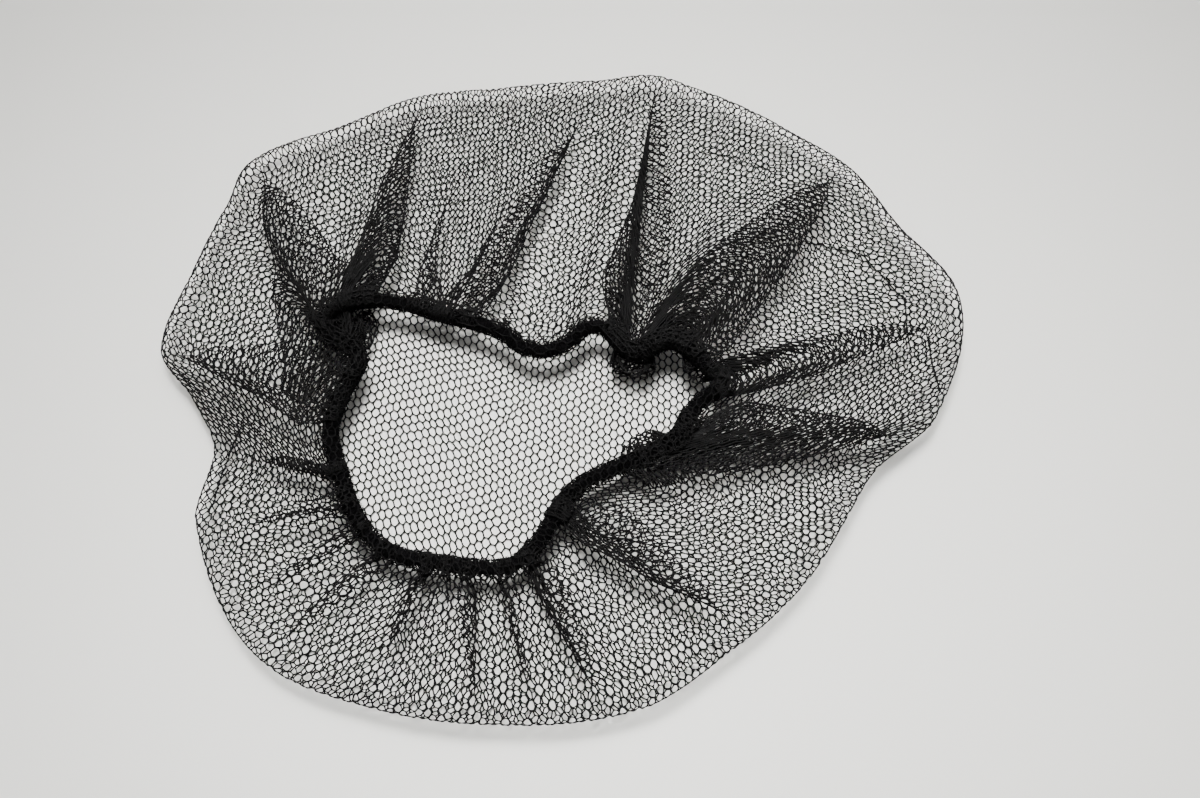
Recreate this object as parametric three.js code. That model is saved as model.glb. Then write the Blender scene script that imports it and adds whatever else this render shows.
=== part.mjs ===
// A knitted hairnet lying on its back, with its mouth up: one disc of fine honeycomb net whose middle
// lies flat, whose border turns up and over at a soft rim, and whose edge is drawn together into folds
// by one loop of covered elastic. Millimetres, +Z up, origin under the middle of the outline.
//
// Stations go round the hairnet clockwise as seen from above. Each fold has one station on its crest,
// one in the dip after it, and the same number of stations between them.

import * as THREE from "three";

// ---- driving dimensions ----
const netWall = 1.5; // thickness of the springy knitted net where it lies
const stationsPerFold = 6;
const rimSteps = 4; // facets round the rolled rim
const borderSteps = 7; // rings between the rim and the hem
const hemWidth = 15; // the net's gathered edge, flat under and beside the elastic sewn to it
const borderPuff = 0.012; // share of the border's run by which its pleats hold it up
const foldLean = 1.7; // over 1, the folds stand highest past the middle of their run
const flatSteps = [0.4, 0.8, 1]; // rings of the flat middle, as shares of the way to the rim

const bandWidth = 5.0; // the elastic with its overlocked cover, across
const bandHeight = 4.4;
const bandSides = 8;
const bandStations = 116;
const pieceGap = 0.3;

// The outline seen from above: the rim's furthest reach, anticlockwise from +X, and its height.
const rimTable = [
  { angle: 10, radius: 143, rise: 14 },
  { angle: 25, radius: 135.5, rise: 12 },
  { angle: 38, radius: 136.5, rise: 12 },
  { angle: 50, radius: 134, rise: 11 },
  { angle: 68, radius: 135, rise: 10 },
  { angle: 76, radius: 136.5, rise: 10 },
  { angle: 85, radius: 130, rise: 10 },
  { angle: 102, radius: 128.5, rise: 10 },
  { angle: 116, radius: 135, rise: 10 },
  { angle: 130, radius: 138.5, rise: 10 },
  { angle: 144, radius: 150.5, rise: 10 },
  { angle: 152, radius: 145, rise: 10 },
  { angle: 165, radius: 141.5, rise: 11 },
  { angle: 179, radius: 142.5, rise: 12 },
  { angle: 187, radius: 130, rise: 12 },
  { angle: 197, radius: 124, rise: 12 },
  { angle: 207, radius: 136, rise: 13 },
  { angle: 229, radius: 145, rise: 14 },
  { angle: 246, radius: 138.5, rise: 15 },
  { angle: 261, radius: 133, rise: 16 },
  { angle: 282, radius: 128.5, rise: 16 },
  { angle: 295, radius: 120.5, rise: 16 },
  { angle: 313, radius: 115, rise: 16 },
  { angle: 328, radius: 111.5, rise: 15 },
  { angle: 338, radius: 114, rise: 14 },
  { angle: 348, radius: 128, rise: 14 },
];

// The elastic's relaxed loop, clockwise from the left, with its hook at the upper left.
const bandTable = [
  { x: -79, y: -31.5, z: 10.5 },
  { x: -76, y: -17, z: 11 },
  { x: -71.5, y: -4, z: 11 },
  { x: -75.5, y: 3, z: 11 },
  { x: -82.5, y: 7, z: 11 },
  { x: -86, y: 12.5, z: 11 },
  { x: -81.5, y: 18, z: 11 },
  { x: -70, y: 21, z: 11 },
  { x: -57.5, y: 20, z: 10.5 },
  { x: -45, y: 15.5, z: 10.5 },
  { x: -31, y: 11.5, z: 10.5 },
  { x: -22, y: 7.5, z: 10.5 },
  { x: -14.5, y: 1.5, z: 10.5 },
  { x: -6, y: 0.5, z: 10.5 },
  { x: 1, y: 4, z: 10.5 },
  { x: 7, y: 10, z: 10.5 },
  { x: 14, y: 9.5, z: 10.5 },
  { x: 18.5, y: 3.5, z: 10.5 },
  { x: 24.5, y: -2, z: 11 },
  { x: 31, y: 1.5, z: 11.5 },
  { x: 37, y: 3, z: 12 },
  { x: 43, y: -1, z: 12 },
  { x: 49, y: -7.5, z: 12 },
  { x: 53.5, y: -13.5, z: 12 },
  { x: 48, y: -19, z: 11.5 },
  { x: 42.5, y: -24.5, z: 11 },
  { x: 37.5, y: -33.5, z: 10 },
  { x: 30, y: -38.5, z: 9 },
  { x: 14.5, y: -45.5, z: 8.5 },
  { x: 5, y: -51, z: 8.5 },
  { x: -1.5, y: -59, z: 8.5 },
  { x: -6, y: -68, z: 8.5 },
  { x: -16.5, y: -79.5, z: 8.5 },
  { x: -37.5, y: -79, z: 8.5 },
  { x: -57.5, y: -74, z: 8.5 },
  { x: -67.5, y: -63, z: 9 },
  { x: -74, y: -48, z: 10 },
];

// The main folds of the border: where each leaves the rim, the share of the elastic's loop where it is
// gathered in, how high its crest stands there, and the share of the run over which it grows.
const foldTable = [
  { rimAngle: 180, bandAt: 0, height: 5, start: 0 },
  { rimAngle: 170, bandAt: 0.055, height: 3, start: 0.1 },
  { rimAngle: 144, bandAt: 0.125, height: 6, start: 0 },
  { rimAngle: 116, bandAt: 0.175, height: 5, start: 0.05 },
  { rimAngle: 92, bandAt: 0.26, height: 4, start: 0.25 },
  { rimAngle: 80, bandAt: 0.35, height: 5, start: 0 },
  { rimAngle: 74, bandAt: 0.42, height: 5, start: 0 },
  { rimAngle: 58, bandAt: 0.45, height: 3, start: 0.4 },
  { rimAngle: 39, bandAt: 0.477, height: 6, start: 0 },
  { rimAngle: 22, bandAt: 0.505, height: 3, start: 0.3 },
  { rimAngle: 6, bandAt: 0.53, height: 5, start: 0.05 },
  { rimAngle: -10, bandAt: 0.6, height: 6, start: 0 },
  { rimAngle: -38, bandAt: 0.675, height: 3, start: 0.3 },
  { rimAngle: -62, bandAt: 0.72, height: 5, start: 0.05 },
  { rimAngle: -83, bandAt: 0.765, height: 4, start: 0.15 },
  { rimAngle: -100, bandAt: 0.81, height: 4, start: 0.1 },
  { rimAngle: -117, bandAt: 0.855, height: 4, start: 0.25 },
  { rimAngle: -131, bandAt: 0.89, height: 4, start: 0.15 },
  { rimAngle: -156, bandAt: 0.945, height: 4, start: 0.1 },
];

// ---- reading the tables ----

// One smooth value from four neighbours, a share of the way from the second to the third.
function smoothBetween(before, from, to, after, share) {
  const leave = (to - before) / 2;
  const arrive = (after - from) / 2;
  const square = share * share;
  const cube = square * share;
  return (
    from * (2 * cube - 3 * square + 1) +
    leave * (cube - 2 * square + share) +
    to * (3 * square - 2 * cube) +
    arrive * (cube - square)
  );
}

// A column of the rim's table at any angle, in degrees.
function rimValue(column, angle) {
  const turned = (angle - rimTable[0].angle + 720) % 360;
  const count = rimTable.length;
  const gone = (row) => rimTable[row % count].angle - rimTable[0].angle + (row >= count ? 360 : 0);
  let row = 0;
  while (gone(row + 1) < turned) {
    row += 1;
  }
  const share = (turned - gone(row)) / (gone(row + 1) - gone(row));
  const at = (step) => rimTable[(row + step + count) % count][column];
  return smoothBetween(at(-1), at(0), at(1), at(2), share);
}

const stations = foldTable.length * stationsPerFold;

// Where a station lies among the folds: the fold before it, and the share of the way to the next.
function foldPlace(station) {
  const fold = Math.floor(station / stationsPerFold) % foldTable.length;
  return { fold, share: (station % stationsPerFold) / stationsPerFold };
}

// A column of the folds' table at a station. It runs on round the hairnet, by one full turn a lap.
function foldRun(column, fullTurn, station) {
  const { fold, share } = foldPlace(station);
  const from = foldTable[fold][column];
  const last = fold === foldTable.length - 1;
  const to = last ? foldTable[0][column] + fullTurn : foldTable[fold + 1][column];
  return from + (to - from) * share;
}

// 1 on the crest of the fold at or before the station and 0 in the dip between two folds.
function crestShare(share) {
  return (1 + Math.cos(2 * Math.PI * share)) / 2;
}

// The height that the folds add at a station, a share of the way from the rim to the elastic.
function foldHeight(station, run) {
  const { fold, share } = foldPlace(station);
  const near = foldTable[share < 0.5 ? fold : (fold + 1) % foldTable.length];
  const grown = Math.max(0, run - near.start) / (1 - near.start);
  return near.height * crestShare(share) * Math.sin(Math.PI * grown ** foldLean);
}

// ---- the two curves that the border runs between ----

const bandLoop = new THREE.CatmullRomCurve3(
  bandTable.map(({ x, y, z }) => new THREE.Vector3(x, y, z)),
  true,
  "centripetal",
);
bandLoop.arcLengthDivisions = 800;

function rimPlace(angle) {
  const turn = THREE.MathUtils.degToRad(angle);
  const radius = rimValue("radius", angle);
  return new THREE.Vector3(radius * Math.cos(turn), radius * Math.sin(turn), 0);
}

// ---- the net, as one wall ----

const baseMiddle = new THREE.Vector3(-14, -16, 0);

// The skin of the net at one station, from the middle of the flat base out to the rim, over it, and
// in to the elastic. depth is 0 on the outside and the wall's thickness on the inside.
function netRun(station, depth) {
  const angle = foldRun("rimAngle", -360, station);
  const rimPoint = rimPlace(angle);
  const rollRadius = rimValue("rise", angle) / 2;
  const edge = bandLoop.getPointAt(foldRun("bandAt", 1, station) % 1);
  edge.z -= bandHeight / 2 + pieceGap;
  const outward = rimPoint.clone().sub(new THREE.Vector3(edge.x, edge.y, 0)).normalize();
  const rollCentre = rimPoint.clone().addScaledVector(outward, -rollRadius);
  rollCentre.z = rollRadius;

  const run = [];
  for (const share of flatSteps) {
    const flat = rollCentre.clone().lerp(baseMiddle, 1 - share);
    flat.z = depth;
    run.push(flat);
  }
  for (let step = 1; step <= rimSteps; step += 1) {
    const turn = -Math.PI / 2 + (Math.PI * step) / rimSteps;
    const roll = rollCentre.clone().addScaledVector(outward, Math.cos(turn) * (rollRadius - depth));
    roll.z += Math.sin(turn) * (rollRadius - depth);
    run.push(roll);
  }
  const top = rollCentre.clone().setZ(rollRadius * 2);
  const hem = edge.clone().addScaledVector(outward, hemWidth);
  const puff = top.distanceTo(hem) * borderPuff;
  for (let step = 1; step <= borderSteps; step += 1) {
    const share = step / borderSteps;
    const over = top.clone().lerp(hem, share);
    over.z += foldHeight(station, share) + puff * Math.sin(Math.PI * share) - depth;
    run.push(over);
  }
  edge.z -= depth;
  run.push(edge);
  return run;
}

// Joins rings of the same number of points into one closed surface, with a fan at each end.
function skinOf(rings, firstPole, lastPole) {
  const around = rings[0].length;
  const points = [firstPole, ...rings.flat(), lastPole];
  const faces = [];
  const at = (ring, i) => 1 + ring * around + (i % around);
  for (let i = 0; i < around; i += 1) {
    faces.push(0, at(0, i), at(0, i + 1));
    faces.push(points.length - 1, at(rings.length - 1, i + 1), at(rings.length - 1, i));
    for (let ring = 0; ring + 1 < rings.length; ring += 1) {
      faces.push(at(ring, i), at(ring + 1, i), at(ring + 1, i + 1));
      faces.push(at(ring, i), at(ring + 1, i + 1), at(ring, i + 1));
    }
  }
  return surface(points, faces);
}

function surface(points, faces) {
  const geometry = new THREE.BufferGeometry();
  geometry.setFromPoints(points);
  geometry.setIndex(faces);
  geometry.computeVertexNormals();
  return geometry;
}

function netGeometry() {
  const outside = [];
  const inside = [];
  for (let station = 0; station < stations; station += 1) {
    outside.push(netRun(station, 0));
    inside.push(netRun(station, netWall));
  }
  const ringOf = (runs, step) => runs.map((run) => run[step]);
  const steps = outside[0].map((_, step) => step);
  const rings = [
    ...steps.map((step) => ringOf(outside, step)),
    ...steps.reverse().map((step) => ringOf(inside, step)),
  ];
  return skinOf(rings, baseMiddle, baseMiddle.clone().setZ(netWall));
}

// ---- the elastic, as one closed tube ----

function bandGeometry() {
  const points = [];
  const faces = [];
  const at = (station, side) => (station % bandStations) * bandSides + (side % bandSides);
  for (let station = 0; station < bandStations; station += 1) {
    const centre = bandLoop.getPointAt(station / bandStations);
    const along = bandLoop.getTangentAt(station / bandStations);
    const across = new THREE.Vector3(along.y, -along.x, 0).normalize();
    for (let side = 0; side < bandSides; side += 1) {
      const turn = ((side + 0.5) / bandSides) * 2 * Math.PI;
      const point = centre.clone().addScaledVector(across, (Math.cos(turn) * bandWidth) / 2);
      point.z += (Math.sin(turn) * bandHeight) / 2;
      points.push(point);
      faces.push(at(station, side), at(station + 1, side), at(station + 1, side + 1));
      faces.push(at(station, side), at(station + 1, side + 1), at(station, side + 1));
    }
  }
  return surface(points, faces);
}

// ---- the assembly ----

function piece(name, geometry, material) {
  const mesh = new THREE.Mesh(geometry, material);
  mesh.name = name;
  return mesh;
}

const knittedNylon = new THREE.MeshStandardMaterial({ color: 0x17171a, roughness: 0.7, metalness: 0 });
const coveredElastic = new THREE.MeshStandardMaterial({ color: 0x121214, roughness: 0.85, metalness: 0 });

const group = new THREE.Group();
group.add(piece("net_cap", netGeometry(), knittedNylon));
group.add(piece("elastic_band", bandGeometry(), coveredElastic));

// The origin goes under the middle of the whole hairnet.
const middle = new THREE.Box3().setFromObject(group).getCenter(new THREE.Vector3());
group.position.set(-middle.x, -middle.y, 0);

export default group;
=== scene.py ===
"""A black honeycomb hairnet lying on its back on a white table, with its gathered mouth up.

The net is one disc of knitted nylon. Its middle, the crown, lies flat on the table. Its border turns up
and over at a soft rim, and is drawn in by the elastic in folds. Here the disc is knitted flat, knot by
knot, and each knot is then laid where the folded disc carries it.
Metres, +Z up, origin on the table under the middle of the outline, as in the frame.
"""

import math

import bpy
import numpy as np
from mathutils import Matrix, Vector


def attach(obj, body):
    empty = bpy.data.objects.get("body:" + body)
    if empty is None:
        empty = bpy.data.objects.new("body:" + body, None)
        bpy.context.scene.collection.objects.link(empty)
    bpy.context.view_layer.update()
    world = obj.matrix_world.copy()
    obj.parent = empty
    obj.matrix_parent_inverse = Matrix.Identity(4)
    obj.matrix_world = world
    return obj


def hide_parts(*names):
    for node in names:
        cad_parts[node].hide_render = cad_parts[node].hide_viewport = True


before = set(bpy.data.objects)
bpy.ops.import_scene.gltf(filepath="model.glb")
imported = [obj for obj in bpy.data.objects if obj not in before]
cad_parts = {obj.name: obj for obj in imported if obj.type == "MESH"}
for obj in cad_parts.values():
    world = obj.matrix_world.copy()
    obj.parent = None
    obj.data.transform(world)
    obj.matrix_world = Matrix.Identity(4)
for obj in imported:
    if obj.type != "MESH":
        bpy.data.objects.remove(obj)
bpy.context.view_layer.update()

MM = 0.001
rng = np.random.default_rng(21)

# ---- sizes, in millimetres ----

FRAME_MIDDLE = np.array([0.879, -0.495])  # the tables' origin, as seen from the frame's

DISC_MIDDLE = np.array([12.5, 36.0])  # of the flat disc of net, over the crown that lies flat
SEAM_RADIUS = 217.0  # where the disc meets the elastic
HEM_LENGTH = 17.0  # of net past the seam, turned round the elastic and back over the border
BAND_WIDTH = 5.0  # of the covered elastic
BAND_HEIGHT = 4.4

CELL_ACROSS = np.array([2.2, -0.315])  # from one column of cells to the next
CELL_ALONG = np.array([0.16, 3.55])  # from cell to cell along a column
SHORT_LEG = np.array([1.35, -0.3])  # the side that two cells in a column share
SKEW = 0.4  # by which the columns are pulled along beside each other, where they are most
SKEW_MIDDLE = -60.0  # where that is, in x from the disc's middle
SKEW_RUN = 26.0  # how far to each side it reaches
KNOT_SCATTER = 0.07  # of each knot from its true place
KNOT_RADIUS = 0.35  # where three legs of yarn loop together
SHORT_LEG_RADIUS = 0.175  # one thread
LONG_LEG_RADIUS = 0.25  # two threads

ROLL_RADIUS = 2.2  # of the turned rim
RIM_LIFT_RUN = 10.0  # how far in from the rim the crown leaves the table
LYING_HEIGHT = 0.6  # of the crown's yarn over the table
KNOT_OVERLAP = 0.12  # by which each leg runs on into its knot
BORDER_WAVE = 1.0  # by which the border waves up and down between its ends
BORDER_WAVE_SIZE = 34.0
HEM_STAND_OFF = 0.25  # of the hem from the elastic

OVERLOCK_TURNS = 620  # of thread round the elastic
OVERLOCK_RADIUS = 0.2
FUZZ_COUNT = 6500
FUZZ_RADIUS = 0.07
# reaches from the elastic's middle, as shares of its half width and half height
CORE_REACH = 0.86
CORE_LUMPS = 0.06
OVERLOCK_REACH = 1.06
OVERLOCK_SLACK = 0.14
FUZZ_LENGTHS = (0.12, 0.5)

# The outline seen from above, anticlockwise from +X: how far the rim reaches, and its rise. The yarn's
# sharp roll lies halfway up that rise.
RIM_COLUMNS = ("angle", "radius", "rise")
RIM = [
    (10, 143, 14),
    (25, 135.5, 12),
    (38, 136.5, 12),
    (50, 134, 11),
    (68, 135, 10),
    (76, 136.5, 10),
    (85, 130, 10),
    (102, 128.5, 10),
    (116, 135, 10),
    (130, 138.5, 10),
    (144, 150.5, 10),
    (152, 145, 10),
    (165, 141.5, 11),
    (179, 142.5, 12),
    (187, 130, 12),
    (197, 124, 12),
    (207, 136, 13),
    (229, 145, 14),
    (246, 138.5, 15),
    (261, 133, 16),
    (282, 128.5, 16),
    (295, 120.5, 16),
    (313, 115, 16),
    (328, 111.5, 15),
    (338, 114, 14),
    (348, 128, 14),
]

# The relaxed loop of the elastic, clockwise from the left: x, y and height of its middle.
BAND = [
    (-79, -31.5, 10.5),
    (-76, -17, 11),
    (-71.5, -4, 11),
    (-75.5, 3, 11),
    (-82.5, 7, 11),
    (-86, 12.5, 11),
    (-81.5, 18, 11),
    (-70, 21, 11),
    (-57.5, 20, 10.5),
    (-45, 15.5, 10.5),
    (-31, 11.5, 10.5),
    (-22, 7.5, 10.5),
    (-14.5, 1.5, 10.5),
    (-6, 0.5, 10.5),
    (1, 4, 10.5),
    (7, 10, 10.5),
    (14, 9.5, 10.5),
    (18.5, 3.5, 10.5),
    (24.5, -2, 11),
    (31, 1.5, 11.5),
    (37, 3, 12),
    (43, -1, 12),
    (49, -7.5, 12),
    (53.5, -13.5, 12),
    (48, -19, 11.5),
    (42.5, -24.5, 11),
    (37.5, -33.5, 10),
    (30, -38.5, 9),
    (14.5, -45.5, 8.5),
    (5, -51, 8.5),
    (-1.5, -59, 8.5),
    (-6, -68, 8.5),
    (-16.5, -79.5, 8.5),
    (-37.5, -79, 8.5),
    (-57.5, -74, 8.5),
    (-67.5, -63, 9),
    (-74, -48, 10),
]

# The main folds: where each leaves the rim, where on the elastic's loop it is gathered in, the share of
# the spare cloth that goes into it and not into small pleats, which way it lies, where it starts on its
# run from rim to elastic, and how high it stands. A share over 1 draws the net beside the fold tight.
FOLD_COLUMNS = ("rim_angle", "band_at", "share", "lean", "start", "height")
FOLDS = [
    (179, 0.025, 1.10, 1, 0.00, 3.0),
    (143, 0.122, 1.35, -1, 0.00, 3.5),
    (115, 0.160, 0.60, 1, 0.03, 3.0),
    (84, 0.262, 0.72, 1, 0.15, 2.5),
    (79, 0.362, 0.80, 1, 0.00, 3.0),
    (75.5, 0.425, 0.90, -1, 0.00, 3.0),
    (39, 0.477, 0.84, -1, 0.00, 4.0),
    (6, 0.530, 0.65, 1, 0.05, 3.0),
    (-15, 0.602, 1.12, 1, 0.00, 3.5),
    (-60, 0.716, 0.80, -1, 0.05, 3.0),
    (-84, 0.762, 0.80, 1, 0.05, 2.5),
    (-93, 0.786, 0.70, 1, 0.05, 2.5),
    (-101, 0.812, 0.75, -1, 0.05, 2.5),
    (-116, 0.845, 0.55, 1, 0.35, 2.5),
    (-130, 0.882, 0.75, -1, 0.10, 3.0),
    (-138, 0.905, 0.60, -1, 0.25, 2.5),
    (-150, 0.932, 0.60, 1, 0.30, 2.5),
    (-163, 0.960, 0.60, -1, 0.30, 2.5),
]
PLEAT_GROWTH = 0.2  # the share of the run over which a main fold takes up its cloth
NET_STRETCH = 0.10  # by which a full fold draws the net beside it out, halfway along its run
FOLD_TURN = 0.02  # half the width of the soft turn at a fold's edge, as a share of the fold's stretch
FOLD_GIVES = 0.3  # the share of its cloth that a main fold gives up beside the elastic
FOLD_GIVES_FROM = 0.8  # the share of the run from where it does
LIFT_PRESSED = 0.6  # the share of a fold's height that the elastic presses down
LIFT_PRESSED_FROM = 0.85
SMALL_PLEATS = 3  # beside each main fold
SMALL_PLEATS_FORM = (0.4, 1.0)  # the shares of the run between which they form
PLEAT_HEIGHT = 1.2
BELLY_SAG = 0.35  # of a belly, for each millimetre past the elastic
EDGE_DROP = 0.4  # the share of the elastic's height by which the border comes to it below its middle
BORDER_BOW = 1.25  # over 1, the border makes more of its change in height near the elastic
HEM_START = 0.5  # the turn round the elastic, from its outward side down, where the hem begins
HEM_LEAVES = 5.0  # the turn where it leaves the elastic to lie back on the border
HEM_OUT = 0.85  # how far out from the elastic and down each millimetre of hem then goes
HEM_DOWN = 0.3
HEM_LIFT = 0.3  # the share of a fold's height that the hem follows

# Where the net bellies in past the elastic before it comes back to it: the place on the elastic's
# loop, how far round it that goes, as a share, and how far past it.
BELLIES = [
    (0.122, 0.055, 21.0),
    (0.437, 0.032, 10.0),
    (0.505, 0.030, 8.5),
    (0.622, 0.045, 12.0),
]

# Creases across the flat crown, where a line of cells is squeezed: from x and y to x and y, and by
# how much, in millimetres.
CREASES = [
    (-13, -12, -34, -36, 0.9),
    (86, 55, 110, 48, 2.1),
    (108, 49, 122, 28, 2.1),
    (122, 30, 121, 8, 1.9),
    (128, 15, 129, -14, 2.1),
    (-111, -22, -117, -58, 2.1),
    (51, 98, 78, 88, 1.2),
    (-22, 86, 14, 108, 1.2),
]
CREASE_CORE = 1.5  # half the width of the squeezed line
CREASE_REACH = 5.0  # how far from the line the cells are drawn towards it

# How far the slack knitting wanders, over patches of what size, and the seed of each.
WANDERS = [
    (0.35, 30, 11),
    (0.12, 9, 13),
]

# The border's pieces: from which direction to which, in degrees anticlockwise round the disc's middle.
BORDER_STRETCHES = {
    "net_border_back_left": (90, 160),
    "net_border_back_right": (20, 90),
    "net_border_right": (-80, 20),
    "net_border_left": (160, 280),
}


# ---- reading the tables ----


def columns_of(names, rows):
    """A table's rows as one array for each column's name."""
    return {name: np.array([row[k] for row in rows], float) for k, name in enumerate(names)}


rim_table = columns_of(RIM_COLUMNS, RIM)
folds = columns_of(FOLD_COLUMNS, FOLDS)
FOLD_COUNT = len(FOLDS)


def rim_value(column, angle):
    """A smooth value of a column of the rim's table at each angle, in degrees."""
    keys = rim_table["angle"]
    values = rim_table[column]
    count = len(keys)
    angle = (np.asarray(angle, float) - keys[0]) % 360 + keys[0]
    row = np.searchsorted(keys, angle, side="right") - 1
    begin = keys[row]
    end = np.append(keys, keys[0] + 360)[row + 1]
    share = (angle - begin) / (end - begin)
    before, here, after, last = (values[(row + step) % count] for step in (-1, 0, 1, 2))
    leave = (after - before) / 2
    arrive = (last - here) / 2
    square = share**2
    cube = share**3
    return (
        here * (2 * cube - 3 * square + 1)
        + leave * (cube - 2 * square + share)
        + after * (3 * square - 2 * cube)
        + arrive * (cube - square)
    )


def rim_point(angle):
    turn = np.radians(angle)
    radius = rim_value("radius", angle)
    return np.stack([radius * np.cos(turn), radius * np.sin(turn)], axis=-1)


def smooth_loop(points, steps=24):
    """Points close together on the centripetal spline through a closed list of points."""
    points = np.array(points, float)
    count = len(points)
    dense = []
    for i in range(count):
        four = [points[(i + k) % count] for k in (-1, 0, 1, 2)]
        knots = [0.0]
        for a, b in zip(four, four[1:]):
            knots.append(knots[-1] + math.sqrt(np.linalg.norm(b - a)))
        for t in np.linspace(knots[1], knots[2], steps, endpoint=False):
            line = [
                (four[k] * (knots[k + 1] - t) + four[k + 1] * (t - knots[k])) / (knots[k + 1] - knots[k])
                for k in range(3)
            ]
            bend = [
                (line[k] * (knots[k + 2] - t) + line[k + 1] * (t - knots[k])) / (knots[k + 2] - knots[k])
                for k in range(2)
            ]
            dense.append((bend[0] * (knots[2] - t) + bend[1] * (t - knots[1])) / (knots[2] - knots[1]))
    return np.array(dense)


class Loop:
    """A closed curve that gives its place and its outward side at any share of its length."""

    def __init__(self, points):
        self.points = np.vstack([points, points[:1]])
        lengths = np.linalg.norm(np.diff(self.points, axis=0), axis=1)
        self.gone = np.concatenate([[0.0], np.cumsum(lengths)])
        self.length = self.gone[-1]

    def at(self, share):
        along = (np.asarray(share, float) % 1.0) * self.length
        return np.stack([np.interp(along, self.gone, self.points[:, k]) for k in range(3)], axis=-1)

    def outward(self, share):
        along = self.at(np.asarray(share) + 0.004) - self.at(np.asarray(share) - 0.004)
        side = np.stack([-along[..., 1], along[..., 0]], axis=-1)
        return side / np.linalg.norm(side, axis=-1, keepdims=True)


band_loop = Loop(smooth_loop(BAND))


def step_up(value, start, end):
    """0 before start, 1 after end, and a smooth rise between."""
    share = np.clip((value - start) / np.maximum(end - start, 1e-9), 0, 1)
    return share * share * (3 - 2 * share)


def soft_wander(x, y, size, seed):
    """A smooth, gentle random field about 1 in height, with lumps about the given size."""
    draw = np.random.default_rng(seed)
    total = np.zeros_like(x)
    for _ in range(7):
        turn = draw.uniform(0, math.tau)
        wave = math.tau / (size * draw.uniform(0.7, 1.6))
        total += np.sin(wave * (x * math.cos(turn) + y * math.sin(turn)) + draw.uniform(0, math.tau))
    return total / 2.6


# ---- the folded disc ----
# A station runs clockwise round the hairnet, and is a whole number on each main fold. A run goes from
# 0 at the rim to 1 at the elastic.


def station_value(column, lap, station):
    """A column that runs on round the hairnet, and gains lap at each time round."""
    values = np.append(folds[column], folds[column][0] + lap)
    turns, rest = np.divmod(station, FOLD_COUNT)
    return np.interp(rest, np.arange(FOLD_COUNT + 1), values) + turns * lap


def rim_angle_at(station):
    """The angle of the outline at each station, in degrees."""
    return station_value("rim_angle", -360, station)


def band_share_at(station):
    """The share of the elastic's loop at each station."""
    return station_value("band_at", 1, station)


sampled_stations = np.linspace(0, FOLD_COUNT, 3600, endpoint=False)
sampled_spokes = rim_point(rim_angle_at(sampled_stations)) - DISC_MIDDLE
sampled_direction = np.degrees(np.unwrap(np.arctan2(sampled_spokes[:, 1], sampled_spokes[:, 0])))
sampled_reach = np.linalg.norm(sampled_spokes, axis=1)


def station_of(direction):
    """The station whose rim point lies in each direction, in degrees, from the middle of the disc."""
    first = sampled_direction[0]
    turned = (first - direction) % 360
    return np.interp(turned, first - sampled_direction, sampled_stations, right=FOLD_COUNT)


def border_place(station, run):
    """The border with its folds smoothed away, from the top of the rim's roll to the elastic."""
    angle = rim_angle_at(station)
    rim = rim_point(angle)
    rise = rim_value("rise", angle) / 2
    share = band_share_at(station)
    edge = band_loop.at(share)
    edge[..., :2] += band_loop.outward(share) * BAND_WIDTH / 2
    edge[..., 2] -= BAND_HEIGHT * EDGE_DROP
    inward = edge[..., :2] - rim
    inward /= np.linalg.norm(inward, axis=-1, keepdims=True)
    start = rim + inward * ROLL_RADIUS
    place = np.empty(station.shape + (3,))
    place[..., :2] = start + (edge[..., :2] - start) * run[..., None]
    top = rise + ROLL_RADIUS
    place[..., 2] = top + (edge[..., 2] - top) * run**BORDER_BOW
    return place


RUN_LEVELS = np.linspace(0, 1, 9)


def spare_ratios():
    """For each fold and level of the run, the cloth's length over the length of the place it has."""
    ratios = np.ones((FOLD_COUNT, len(RUN_LEVELS)))
    turned = np.append(sampled_direction, sampled_direction[0] - 360)
    for k in range(FOLD_COUNT):
        stations = np.linspace(k - 0.5, k + 0.5, 41)
        reach = np.interp(stations % FOLD_COUNT, sampled_stations, sampled_reach, period=FOLD_COUNT)
        direction = np.interp(stations % FOLD_COUNT, np.append(sampled_stations, FOLD_COUNT), turned)
        turn = np.abs(np.diff(np.unwrap(np.radians(direction))))
        for level, run in enumerate(RUN_LEVELS):
            place = border_place(stations, np.full_like(stations, run))
            room = np.linalg.norm(np.diff(place, axis=0), axis=1).sum()
            radius = reach + (SEAM_RADIUS - reach) * run
            cloth = (turn * (radius[1:] + radius[:-1]) / 2).sum()
            ratios[k, level] = max(1.0, cloth / room)
    return ratios


spare = spare_ratios()


def spare_at(row, run):
    """The spare ratio of each fold's row, at any share of the run."""
    level = np.clip(run, 0, 1) * (len(RUN_LEVELS) - 1)
    low = np.minimum(level.astype(int), len(RUN_LEVELS) - 2)
    share = level - low
    return spare[row, low] * (1 - share) + spare[row, low + 1] * share


def doubled_back(at, middle, half):
    """How far the cloth's doubled-back length has run, for a fold in the middle of a stretch."""
    soft = np.minimum(half, FOLD_TURN)
    away = np.abs(at - middle)
    into = np.clip(away - (half - soft), 0, 2 * soft)
    gone = np.minimum(away, half - soft) + into - into**2 / (4 * np.maximum(soft, 1e-9))
    return half + np.sign(at - middle) * gone


pleat_shift = rng.uniform(-0.35, 0.35, (FOLD_COUNT, SMALL_PLEATS))
pleat_weight = rng.uniform(0.5, 1.5, (FOLD_COUNT, SMALL_PLEATS))
pleat_weight /= pleat_weight.sum(axis=1, keepdims=True)
pleat_lift = rng.uniform(0.5, 1.4, (FOLD_COUNT, SMALL_PLEATS))


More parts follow.
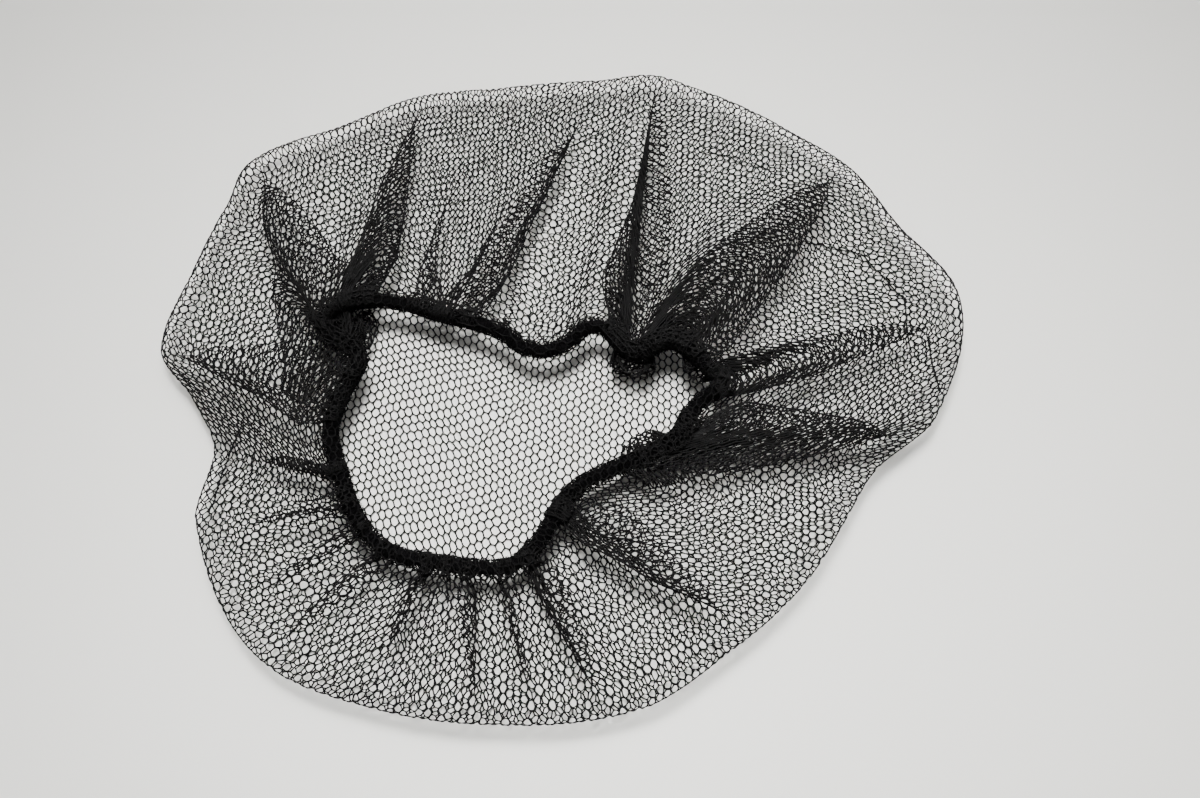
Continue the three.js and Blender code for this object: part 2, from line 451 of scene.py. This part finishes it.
def fold_over(station, run):
    """Where the folds carry the cloth: its new station, and how far it is lifted, in millimetres."""
    row = np.floor(station + 0.5).astype(int) % FOLD_COUNT
    at = (station + 0.5) % 1.0
    lean = folds["lean"][row]
    at = np.where(lean > 0, at, 1 - at)

    grown = step_up(run, folds["start"][row], folds["start"][row] + PLEAT_GROWTH)
    drawn = NET_STRETCH * 4 * run * (1 - run) * grown * folds["share"][row] ** 3
    ratio = spare_at(row, run) * (1 + drawn)
    main_share = folds["share"][row] * grown * (1 - FOLD_GIVES * step_up(run, FOLD_GIVES_FROM, 1))
    lift = np.zeros_like(at)

    # the small pleats, which only form near the elastic
    formed = step_up(run, *SMALL_PLEATS_FORM)
    small = (1 - ratio ** -(np.maximum(1 - main_share, 0) * formed)) / 4
    back = np.zeros_like(at)
    for k in range(SMALL_PLEATS):
        middle = (k + 0.5 + pleat_shift[row, k]) / SMALL_PLEATS
        half = small * pleat_weight[row, k]
        back += doubled_back(at, middle, half)
        hump = np.exp(-(((at - middle - half * 0.5) / (half * 1.6 + 0.004)) ** 2))
        lift += PLEAT_HEIGHT * pleat_lift[row, k] * hump * formed
    at = (at - 2 * back) / (1 - 4 * small)

    # the one main fold
    half = (1 - ratio**-main_share) / 4
    lift += (
        folds["height"][row]
        * step_up(half, 0.0, 0.08)
        * step_up(at, 0.5 - half, 0.5 + half)
        * (1 - step_up(at, 0.5 + 2.4 * half, 0.5 + 3.6 * half + 0.04))
    )
    at = (at - 2 * doubled_back(at, 0.5, half)) / (1 - 4 * half)

    at = np.where(lean > 0, at, 1 - at)
    return np.floor(station + 0.5) - 0.5 + at, lift


def belly_at(station):
    """How far the net goes past the elastic at each station before it comes back, in millimetres."""
    share = band_share_at(station)
    past = np.zeros_like(share)
    for middle, wide, reach in BELLIES:
        away = (share - middle + 0.5) % 1.0 - 0.5
        past += reach * np.exp(-((away / (wide * 0.6)) ** 4))
    return past


def hem_place(station, past):
    """The hem, which leaves the border below the elastic, goes round it, and lies back on the border."""
    share = band_share_at(station)
    centre = band_loop.at(share)
    outward = band_loop.outward(share)
    wrap = (BAND_WIDTH + BAND_HEIGHT) / 4 + HEM_STAND_OFF
    turn = HEM_START + past / wrap
    lying = np.maximum(turn - HEM_LEAVES, 0) * wrap
    turn = np.minimum(turn, HEM_LEAVES)
    away = wrap * np.cos(turn) + lying * HEM_OUT
    place = np.empty(station.shape + (3,))
    place[:, :2] = centre[:, :2] + outward * away[:, None]
    place[:, 2] = centre[:, 2] - wrap * np.sin(turn) - lying * HEM_DOWN
    return place


def lay_cloth(flat):
    """Carries points of the flat disc to where the folded hairnet holds them, in millimetres."""
    spoke = flat - DISC_MIDDLE
    radius = np.linalg.norm(spoke, axis=1)
    station = station_of(np.degrees(np.arctan2(spoke[:, 1], spoke[:, 0])))
    angle = rim_angle_at(station)
    rim = rim_point(angle)
    reach = np.linalg.norm(rim - DISC_MIDDLE, axis=1)
    outward = (rim - DISC_MIDDLE) / reach[:, None]
    rise = rim_value("rise", angle) / 2
    quarter = ROLL_RADIUS * math.pi / 2
    past = radius - reach

    # the crown, flat on the table and lifted towards the rim
    shrink = (reach - ROLL_RADIUS) / (reach - quarter)
    lifted = 1 - step_up(-past, quarter * 0.5, RIM_LIFT_RUN)
    crown = np.empty((len(flat), 3))
    crown[:, :2] = DISC_MIDDLE + spoke * shrink[:, None]
    crown[:, 2] = LYING_HEIGHT + (rise - ROLL_RADIUS - LYING_HEIGHT) * lifted

    # the rolled rim
    turn = np.clip((past + quarter) / ROLL_RADIUS, 0, math.pi)
    inward = band_loop.at(band_share_at(station))[:, :2] - rim
    inward /= np.linalg.norm(inward, axis=1, keepdims=True)
    away = np.where((turn < math.pi / 2)[:, None], -outward, inward)
    roll = np.empty_like(crown)
    roll[:, :2] = rim + away * (ROLL_RADIUS * (1 - np.sin(turn)))[:, None]
    roll[:, 2] = rise - ROLL_RADIUS * np.cos(turn)

    # the border, with its folds, and with its bellies past the elastic
    cloth_length = SEAM_RADIUS - reach - quarter
    run = np.clip((past - quarter) / cloth_length, 0, 1)
    moved, lift = fold_over(station, run)
    belly = belly_at(moved) / cloth_length
    out = run * (1 + 2 * belly)
    out = np.where(out < 1 + belly, out, 2 * (1 + belly) - out)
    beyond = np.maximum(out - 1, 0) * cloth_length
    border = border_place(moved, np.minimum(out, 1))
    border[:, :2] -= band_loop.outward(band_share_at(moved)) * beyond[:, None]
    border[:, 2] += lift * (1 - LIFT_PRESSED * step_up(run, LIFT_PRESSED_FROM, 1))
    wave = BORDER_WAVE * soft_wander(flat[:, 0], flat[:, 1], BORDER_WAVE_SIZE, 5)
    border[:, 2] += wave * np.sin(np.pi * run)
    border[:, 2] -= BELLY_SAG * beyond

    hem = hem_place(moved, np.maximum(radius - SEAM_RADIUS, 0))
    hem[:, 2] += lift * HEM_LIFT

    place = np.where((past < -quarter)[:, None], crown, roll)
    place = np.where((past > quarter)[:, None], border, place)
    place = np.where((radius > SEAM_RADIUS)[:, None], hem, place)
    place[:, :2] += FRAME_MIDDLE
    return place


# ---- the knitting ----


def knit_disc():
    """The net's knots, flat, its legs as pairs of knots, and which of the legs are the short ones."""
    reach = SEAM_RADIUS + HEM_LENGTH
    columns = int(reach / CELL_ACROSS[0]) + 2
    rows = int(reach / CELL_ALONG[1]) + 12
    column, row = np.meshgrid(np.arange(-columns, columns + 1), np.arange(-rows, rows + 1), indexing="ij")
    along = row + 0.5 * (column % 2)
    middle = column[..., None] * CELL_ACROSS + (along + 0.5)[..., None] * CELL_ALONG
    knots = np.stack([middle - SHORT_LEG / 2, middle + SHORT_LEG / 2], axis=2).reshape(-1, 2)
    width, height = column.shape
    number = np.arange(width * height).reshape(width, height)
    left, right = number * 2, number * 2 + 1
    short_legs = np.stack([left.ravel(), right.ravel()], axis=1)
    long_legs = []
    for parity in (0, 1):
        c, r = np.nonzero(column[:-1, 1:-1] % 2 == parity)
        r = r + 1
        below = r - 1 + parity
        long_legs.append(np.stack([right[c, r], left[c + 1, below]], axis=1))
        long_legs.append(np.stack([right[c, r], left[c + 1, below + 1]], axis=1))
    long_legs = np.concatenate(long_legs)
    legs = np.concatenate([short_legs, long_legs])
    is_short = np.arange(len(legs)) < len(short_legs)
    return knots, legs, is_short


def crease(place, line):
    """How far a crease's line draws each point of the cloth towards it, fading out at its ends."""
    x0, y0, x1, y1, pull = line
    start = np.array([x0, y0])
    length = math.hypot(x1 - x0, y1 - y0)
    course = np.array([x1 - x0, y1 - y0]) / length
    side = np.array([-course[1], course[0]])
    along = (place - start) @ course
    across = (place - start) @ side
    near = np.tanh(across / CREASE_CORE) * np.exp(-((across / CREASE_REACH) ** 2))
    near *= step_up(along, -3, 5) * (1 - step_up(along, length - 5, length + 3))
    return -pull * near[:, None] * side


def loosen(knots):
    """Slack knitting: cells wander a little, no two are quite alike, and creases squeeze some."""
    x, y = knots.T
    moved = knots.copy()
    for reach, size, seed in WANDERS:
        moved[:, 0] += reach * soft_wander(x, y, size, seed)
        moved[:, 1] += reach * soft_wander(x, y, size, seed + 1)
    moved[:, 1] -= SKEW * SKEW_RUN * np.tanh((x - SKEW_MIDDLE) / SKEW_RUN)
    moved += rng.normal(0, KNOT_SCATTER, knots.shape)
    for line in CREASES:
        moved += crease(moved + DISC_MIDDLE, line)
    return moved


def mesh_piece(name, points, faces, smooth=True):
    """A mesh object from arrays of points in millimetres and of triangles or quads."""
    mesh = bpy.data.meshes.new(name)
    sides = faces.shape[1]
    mesh.vertices.add(len(points))
    mesh.vertices.foreach_set("co", (np.asarray(points) * MM).astype(np.float32).ravel())
    mesh.loops.add(faces.size)
    mesh.loops.foreach_set("vertex_index", faces.astype(np.int32).ravel())
    mesh.polygons.add(len(faces))
    mesh.polygons.foreach_set("loop_start", np.arange(0, faces.size, sides, dtype=np.int32))
    mesh.polygons.foreach_set("loop_total", np.full(len(faces), sides, np.int32))
    mesh.update(calc_edges=True)
    mesh.polygons.foreach_set("use_smooth", np.full(len(faces), smooth))
    piece = bpy.data.objects.new(name, mesh)
    bpy.context.scene.collection.objects.link(piece)
    return piece


def unit(vectors):
    return vectors / np.maximum(np.linalg.norm(vectors, axis=-1, keepdims=True), 1e-9)


def strands(name, paths, ups, radii):
    """Many open-ended three-sided strands as one piece: paths and ups by strand, ring and axis."""
    count, rings, _ = paths.shape
    along = unit(np.gradient(paths, axis=1))
    side = unit(np.cross(along, ups))
    up = np.cross(side, along)
    radii = np.broadcast_to(radii, (count, rings))[..., None]
    corners = []
    for corner in range(3):
        turn = math.radians(90 + 120 * corner)
        corners.append(paths + (side * math.cos(turn) + up * math.sin(turn)) * radii)
    points = np.stack(corners, axis=2).reshape(-1, 3)
    number = np.arange(count * rings * 3).reshape(count, rings, 3)
    after = np.roll(number, -1, axis=2)
    faces = np.stack([number[:, :-1], after[:, :-1], after[:, 1:], number[:, 1:]], axis=-1)
    return mesh_piece(name, points, faces.reshape(-1, 4))


def cloth_up(flat):
    """The cloth's own upward direction at each flat point."""
    nudge = 0.4
    along = lay_cloth(flat + [nudge, 0]) - lay_cloth(flat - [nudge, 0])
    across = lay_cloth(flat + [0, nudge]) - lay_cloth(flat - [0, nudge])
    return unit(np.cross(along, across))


def yarn_legs(name, knots, legs, radii):
    """Legs of yarn from knot to knot, with the radii of each leg's rings."""
    count, rings = radii.shape
    first, last = knots[legs[:, 0]], knots[legs[:, 1]]
    flats = first[:, None] + (last - first)[:, None] * np.linspace(0, 1, rings)[:, None]
    places = lay_cloth(flats.reshape(-1, 2)).reshape(count, rings, 3)
    ups = cloth_up(flats.reshape(-1, 2)).reshape(count, rings, 3)
    along = unit(places[:, -1] - places[:, 0])
    places[:, 0] -= along * KNOT_OVERLAP
    places[:, -1] += along * KNOT_OVERLAP
    return strands(name, places, ups, radii)


def net_pieces():
    """The net, in stretches of a fair size, each its own piece."""
    knots, legs, is_short = knit_disc()
    knots = loosen(knots)
    inside = np.linalg.norm(knots, axis=1) < SEAM_RADIUS + HEM_LENGTH
    kept = inside[legs].all(axis=1)
    legs, is_short = legs[kept], is_short[kept]
    knots = knots + DISC_MIDDLE

    # thick at the knots and thin between, and in the hem only thin
    thread = np.where(is_short, SHORT_LEG_RADIUS, LONG_LEG_RADIUS)
    knot = np.full(len(legs), KNOT_RADIUS)
    knotted = np.stack([knot, thread, knot], axis=1)
    plain = np.full((len(legs), 2), LONG_LEG_RADIUS)

    middle = knots[legs].mean(axis=1)
    spoke = middle - DISC_MIDDLE
    radius = np.linalg.norm(spoke, axis=1)
    direction = np.degrees(np.arctan2(spoke[:, 1], spoke[:, 0]))
    rim = rim_point(rim_angle_at(station_of(direction)))
    on_crown = radius <= np.linalg.norm(rim - DISC_MIDDLE, axis=1)
    in_hem = radius > SEAM_RADIUS
    on_border = ~on_crown & ~in_hem
    # which legs each piece has, their radii, and the degrees that it takes if it is part of a ring
    stretches = {
        "net_crown_back": (on_crown & (middle[:, 1] > 0), knotted, None),
        "net_crown_front": (on_crown & (middle[:, 1] <= 0), knotted, None),
    }
    for name, (start, end) in BORDER_STRETCHES.items():
        turned = (direction - start) % 360
        stretches[name] = (on_border & (turned > 0) & (turned <= end - start), knotted, end - start)
    stretches["net_hem"] = (in_hem, plain, 360)

    pieces = []
    for name, (chosen, radii, arc) in stretches.items():
        piece = yarn_legs(name, knots, legs[chosen], radii[chosen])
        pieces.append(piece)
    return pieces


# ---- the elastic ----


def round_band(share, turn, reach):
    """Points round the elastic: turn is 0 on its outward side and a quarter turn on its top."""
    centre = band_loop.at(share)
    outward = band_loop.outward(share)
    place = np.empty(np.broadcast(share, turn).shape + (3,))
    place[..., :2] = centre[..., :2] + outward * (np.cos(turn) * reach * BAND_WIDTH / 2)[..., None]
    place[..., 2] = centre[..., 2] + np.sin(turn) * reach * BAND_HEIGHT / 2
    place[..., :2] += FRAME_MIDDLE
    return place


def elastic_core():
    """The rubber core under its cover, drawn up into soft lumps between the stitches."""
    stations, sides = 520, 14
    share = np.arange(stations)[:, None] / stations + np.zeros((1, sides))
    turn = np.arange(sides)[None, :] / sides * math.tau + np.zeros((stations, 1))
    lumps = rng.normal(0, 1, (stations, sides))
    lumps = (lumps + np.roll(lumps, 1, axis=0) + np.roll(lumps, 1, axis=1)) / 3
    points = round_band(share, turn, CORE_REACH + CORE_LUMPS * lumps)
    number = np.arange(stations * sides).reshape(stations, sides)
    ahead = np.roll(number, -1, axis=0)
    faces = np.stack([number, np.roll(number, -1, axis=1), np.roll(ahead, -1, axis=1), ahead], axis=-1)
    return mesh_piece("elastic_core", points.reshape(-1, 3), faces.reshape(-1, 4))


def overlock_thread():
    """The thread that sews the hem round the elastic, in close turns that stand a little proud."""
    turns = OVERLOCK_TURNS
    gone = np.linspace(0, 1.05, 12)[None, :]
    turn = gone * math.tau + rng.uniform(0, math.tau, (turns, 1))
    share = (np.arange(turns)[:, None] + gone) / turns + rng.normal(0, 0.25, (turns, 1)) / turns
    slack = OVERLOCK_SLACK * np.abs(rng.normal(0, 1, (turns, 1))) * np.sin(turn * 1.5) ** 2
    paths = round_band(share, turn, OVERLOCK_REACH + slack)
    ups = unit(paths - band_loop.at(share) - [*FRAME_MIDDLE, 0])
    return strands("overlock_thread", paths, ups, OVERLOCK_RADIUS)


def fuzz():
    """Short curly ends of textured yarn that stand out all round the cover."""
    shape = (FUZZ_COUNT, 1)
    gone = np.linspace(0, 1, 4)
    root = rng.uniform(0, 1, shape)
    turn = rng.uniform(0, math.tau, shape) + gone * rng.normal(0, 0.5, shape)
    share = root + gone * rng.normal(0, 0.9, shape) / band_loop.length
    length = rng.uniform(*FUZZ_LENGTHS, shape)
    arc = np.sin(gone * rng.uniform(1.2, 2.8, shape))
    paths = round_band(share, turn, 1.0 + length * arc)
    ups = np.broadcast_to([0.13, 0.21, 0.97], paths.shape)
    return strands("cover_fuzz", paths, ups, FUZZ_RADIUS)


# ---- materials ----


def colour(hex_code):
    """An sRGB hex code as linear red, green, blue and alpha."""
    parts = [int(hex_code[i : i + 2], 16) / 255 for i in (1, 3, 5)]
    return [c / 12.92 if c <= 0.04045 else ((c + 0.055) / 1.055) ** 2.4 for c in parts] + [1.0]


def node(material, kind, settings=None, links=None):
    """Adds a node to a material. Settings go to inputs, by name or number, or else to the node itself."""
    tree = material.node_tree
    made = tree.nodes.new(kind)
    for key, value in (settings or {}).items():
        if isinstance(key, int) or key in made.inputs:
            made.inputs[key].default_value = value
        else:
            setattr(made, key, value)
    for key, source in (links or {}).items():
        tree.links.new(source, made.inputs[key])
    return made


def new_material(name):
    material = bpy.data.materials.new(name)
    material.use_nodes = True
    material.node_tree.nodes.clear()
    return material


def mixed_colours(material, first, second, share):
    """A colour between two, by a share from 0 to 1."""
    colours = {"data_type": "RGBA", 6: colour(first), 7: colour(second)}
    return node(material, "ShaderNodeMix", colours, {0: share}).outputs[2]


def noise(material, scale, detail):
    """Fractal noise fixed to the piece, with so many lumps to the metre."""
    place = node(material, "ShaderNodeTexCoord").outputs["Object"]
    settings = {"Scale": scale, "Detail": detail}
    return node(material, "ShaderNodeTexNoise", settings, {"Vector": place}).outputs[0]


def bumped(material, strength, distance, height):
    """A fine relief, as deep as the distance, in metres."""
    settings = {"Strength": strength, "Distance": distance}
    return node(material, "ShaderNodeBump", settings, {"Height": height}).outputs[0]


def surfaced(material, settings, links):
    """The material with its shader, from the shader's settings and links."""
    shader = node(material, "ShaderNodeBsdfPrincipled", settings, links)
    node(material, "ShaderNodeOutputMaterial", None, {"Surface": shader.outputs[0]})
    return material


def knitted_nylon():
    """Textured nylon filament: near black, with a faint sheen on each strand that catches the window."""
    material = new_material("textured nylon yarn")
    dye = noise(material, 70.0, 4.0)
    filaments = noise(material, 4500.0, 2.0)
    tone = mixed_colours(material, "#010101", "#070606", dye)
    grain = bumped(material, 0.6, 0.0001, filaments)
    settings = {"Roughness": 0.7, "IOR": 1.53, "Specular IOR Level": 0.15}
    return surfaced(material, settings, {"Base Color": tone, "Normal": grain})


def covered_elastic():
    """Elastic bound in crimped nylon: so fuzzy that it drinks the light and reads as solid black."""
    material = new_material("crimped nylon cover")
    crimp = noise(material, 1800.0, 3.0)
    tone = mixed_colours(material, "#020202", "#0b0a0c", crimp)
    grain = bumped(material, 0.8, 0.0004, crimp)
    settings = {"Roughness": 0.95, "IOR": 1.5, "Specular IOR Level": 0.1}
    return surfaced(material, settings, {"Base Color": tone, "Normal": grain})


def white_table():
    """A satin white laminate top, very slightly mottled and a touch warm."""
    material = new_material("white laminate")
    tone = mixed_colours(material, "#e2e1db", "#e7e6e0", noise(material, 8.0, 3.0))
    return surfaced(material, {"Roughness": 0.5}, {"Base Color": tone})


# ---- camera, light and floor ----

VIEW_RISE = math.radians(60)  # the camera looks down this steeply
VIEW_DISTANCE = 0.490  # here and below, metres
VIEW_MIDDLE = Vector((0.01268, -0.0135, 0.0))
LENS = 42.0  # focal length, in millimetres
FLOOR_HALF = 3.0


def camera():
    data = bpy.data.cameras.new("camera")
    data.lens = LENS
    data.sensor_width = 36.0
    data.clip_start = 0.01
    data.clip_end = 20
    seat = bpy.data.objects.new("camera", data)
    away = Vector((0, -math.cos(VIEW_RISE), math.sin(VIEW_RISE)))
    seat.location = VIEW_MIDDLE + away * VIEW_DISTANCE
    seat.rotation_euler = (-away).to_track_quat("-Z", "Y").to_euler()
    bpy.context.scene.collection.objects.link(seat)
    bpy.context.scene.camera = seat


def lamp(name, place, aim, size, power, spread=math.pi):
    """A round lamp, aimed at a point. Spread is the angle of its beam."""
    data = bpy.data.lights.new(name, "AREA")
    data.shape = "DISK"
    data.size = size
    data.energy = power
    data.spread = spread
    seat = bpy.data.objects.new(name, data)
    seat.location = place
    seat.rotation_euler = (Vector(aim) - Vector(place)).to_track_quat("-Z", "Y").to_euler()
    bpy.context.scene.collection.objects.link(seat)


def studio():
    """Soft daylight from a window behind, a ceiling light, a pale room, and the table."""
    lamp("window", (0.12, 0.66, 1.3), (0, 0, 0), size=0.9, power=15.0)
    lamp("ceiling", (-0.05, 0.25, 1.0), (0.03, -0.09, 0), size=0.6, power=1.9, spread=math.radians(34))
    world = bpy.data.worlds.new("room")
    world.use_nodes = True
    walls = world.node_tree.nodes["Background"].inputs
    walls["Color"].default_value = (1, 1, 1, 1)
    walls["Strength"].default_value = 0.30
    bpy.context.scene.world = world
    half = FLOOR_HALF / MM
    points = [(-half, -half, 0), (half, -half, 0), (half, half, 0), (-half, half, 0)]
    floor = mesh_piece("floor", points, np.array([[0, 1, 2, 3]]), smooth=False)
    floor.data.materials.append(white_table())


# ---- the whole hairnet ----

camera()
studio()

nylon = knitted_nylon()
for piece in net_pieces():
    piece.data.materials.append(nylon)
    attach(piece, "root")
    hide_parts("net_cap")

cover = covered_elastic()
for piece in (elastic_core(), overlock_thread(), fuzz()):
    piece.data.materials.append(cover)
    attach(piece, "root")
    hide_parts("elastic_band")
